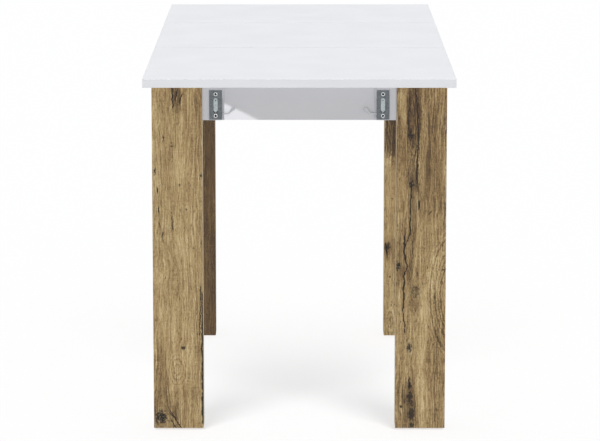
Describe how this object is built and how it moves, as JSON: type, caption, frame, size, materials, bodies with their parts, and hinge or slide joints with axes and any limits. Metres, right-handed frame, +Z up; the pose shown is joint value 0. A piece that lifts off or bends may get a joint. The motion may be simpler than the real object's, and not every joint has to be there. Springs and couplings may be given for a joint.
{
  "type": "extending dining table",
  "caption": "White dining table on oak-look box legs, with a lift-off end leaf resting on flat steel bars that slide out of slotted plates in the frame.",
  "frame": {"origin": "on the floor, under the middle of the table's outline with its leaf on", "axes": "+X to the right seen from the plain end, +Y along the table towards the leaf, +Z up"},
  "size_m": [0.67, 1.54, 0.775],
  "materials": {
    "white_laminate": "smooth satin white laminate",
    "white_edging": "satin",
    "white_board": "satin white laminate",
    "oak_decor": "matt rustic oak",
    "raw_wood": "matt sawn wood",
    "zinc_plate": "grey zinc, satin",
    "bright_zinc": "bright zinc, satin",
    "nylon": "satin",
    "glide_plastic": "matt"
  },
  "bodies": {
    "frame": {"top_near_board": "white_laminate", "top_far_board": "white_laminate", "top_near_edging": "white_edging", "top_far_edging": "white_edging", "side_apron_left": "white_board", "side_apron_right": "white_board", "end_apron_near": "white_board", "end_apron_far": "white_board", "upper_batten_left": "white_board", "upper_batten_right": "white_board", "lower_batten_left": "white_board", "lower_batten_right": "white_board", "rail_cover_left": "white_board", "rail_cover_right": "white_board", "seam_dowels": "raw_wood", "frame_dowels": "raw_wood", "cross_brace": "raw_wood", "leg_head_blocks": "raw_wood", "leg_foot_blocks": "raw_wood", "leg_near_left": "oak_decor", "leg_near_right": "oak_decor", "leg_far_left": "oak_decor", "leg_far_right": "oak_decor", "guide_plate_near_left": "zinc_plate", "guide_plate_near_right": "zinc_plate", "guide_plate_far_left": "zinc_plate", "guide_plate_far_right": "zinc_plate", "seam_plates": "zinc_plate", "top_brackets": "zinc_plate", "leg_washers": "zinc_plate", "leg_inserts": "zinc_plate", "seam_plate_screws": "bright_zinc", "plate_screws": "bright_zinc", "leg_bolts": "bright_zinc", "bracket_screws": "bright_zinc", "hook_screws": "bright_zinc", "inner_bar_guides": "nylon", "leg_glides": "glide_plastic"},
    "leaf": {"leaf_board": "white_laminate", "leaf_edging": "white_edging", "leaf_cleat_left": "raw_wood", "leaf_cleat_right": "raw_wood", "leaf_stiffener": "raw_wood", "leaf_screws": "bright_zinc", "leaf_studs": "bright_zinc"},
    "near_bar_left": {"near_bar_left": "bright_zinc", "near_stop_pin_left": "zinc_plate"},
    "latch_near_left": {"latch_near_left": "bright_zinc"},
    "near_bar_right": {"near_bar_right": "bright_zinc", "near_stop_pin_right": "zinc_plate"},
    "latch_near_right": {"latch_near_right": "bright_zinc"},
    "far_bar_left": {"far_bar_left": "bright_zinc", "far_stop_pin_left": "zinc_plate"},
    "latch_far_left": {"latch_far_left": "bright_zinc"},
    "far_bar_right": {"far_bar_right": "bright_zinc", "far_stop_pin_right": "zinc_plate"},
    "latch_far_right": {"latch_far_right": "bright_zinc"},
    "leaf_hook_left": {"leaf_hook_left": "zinc_plate"},
    "leaf_hook_right": {"leaf_hook_right": "zinc_plate"}
  },
  "joints": [
    {"name": "near_bar_left_slide", "type": "slide", "parent": "frame", "child": "near_bar_left", "axis": [0, -1, 0], "range_m": [0, 0.36]},
    {"name": "near_bar_right_slide", "type": "slide", "parent": "frame", "child": "near_bar_right", "axis": [0, -1, 0], "range_m": [0, 0.36]},
    {"name": "far_bar_left_slide", "type": "slide", "parent": "frame", "child": "far_bar_left", "axis": [0, -1, 0], "range_m": [0, 0.36]},
    {"name": "far_bar_right_slide", "type": "slide", "parent": "frame", "child": "far_bar_right", "axis": [0, -1, 0], "range_m": [0, 0.36]},
    {"name": "leaf_lift", "type": "slide", "parent": "frame", "child": "leaf", "axis": [0, 0, 1], "range_m": [0, 0.25]},
    {"name": "latch_near_left_turn", "type": "hinge", "parent": "frame", "child": "latch_near_left", "pos_m": [-0.1795, -0.7307, 0.6915], "axis": [0, -1, 0], "range_deg": [0, 18]},
    {"name": "latch_near_right_turn", "type": "hinge", "parent": "frame", "child": "latch_near_right", "pos_m": [0.1795, -0.7307, 0.6915], "axis": [0, 1, 0], "range_deg": [0, 18]},
    {"name": "latch_far_left_turn", "type": "hinge", "parent": "frame", "child": "latch_far_left", "pos_m": [-0.1795, 0.2907, 0.6915], "axis": [0, -1, 0], "range_deg": [0, 18]},
    {"name": "latch_far_right_turn", "type": "hinge", "parent": "frame", "child": "latch_far_right", "pos_m": [0.1795, 0.2907, 0.6915], "axis": [0, 1, 0], "range_deg": [0, 18]},
    {"name": "leaf_hook_left_swing", "type": "hinge", "parent": "frame", "child": "leaf_hook_left", "pos_m": [-0.11, 0.308, 0.7555], "axis": [0, 0, -1], "range_deg": [0, 80]},
    {"name": "leaf_hook_right_swing", "type": "hinge", "parent": "frame", "child": "leaf_hook_right", "pos_m": [0.11, 0.308, 0.7555], "axis": [0, 0, 1], "range_deg": [0, 80]}
  ]
}
